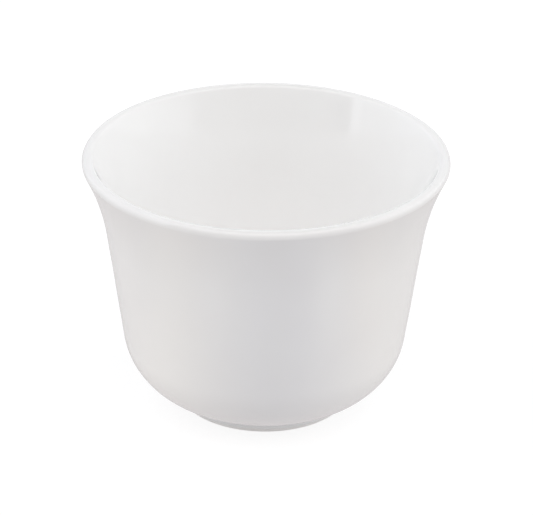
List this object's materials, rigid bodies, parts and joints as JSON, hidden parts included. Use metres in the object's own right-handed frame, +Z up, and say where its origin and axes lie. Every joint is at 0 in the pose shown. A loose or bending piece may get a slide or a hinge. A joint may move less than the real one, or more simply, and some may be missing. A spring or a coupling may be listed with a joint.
{
  "type": "chinese tea cup",
  "caption": "Handleless white porcelain tea cup with a flared round lip, straight tapering wall, rounded heel and low foot ring.",
  "frame": {"origin": "centre of the foot ring's seat, on the plane that the cup stands on", "axes": "+Z up along the axis of the cup, towards the rim; the cup is round about Z"},
  "size_m": [0.085, 0.085, 0.0626],
  "materials": {
    "porcelain": "fired bare porcelain, smooth and matte, ground flat at the seat",
    "glaze": "glossy clear glaze over white porcelain"
  },
  "bodies": {
    "root": {"bowl": "porcelain", "foot_ring": "porcelain", "outer_glaze": "glaze", "liner_glaze": "glaze", "base_glaze": "glaze"}
  },
  "joints": []
}
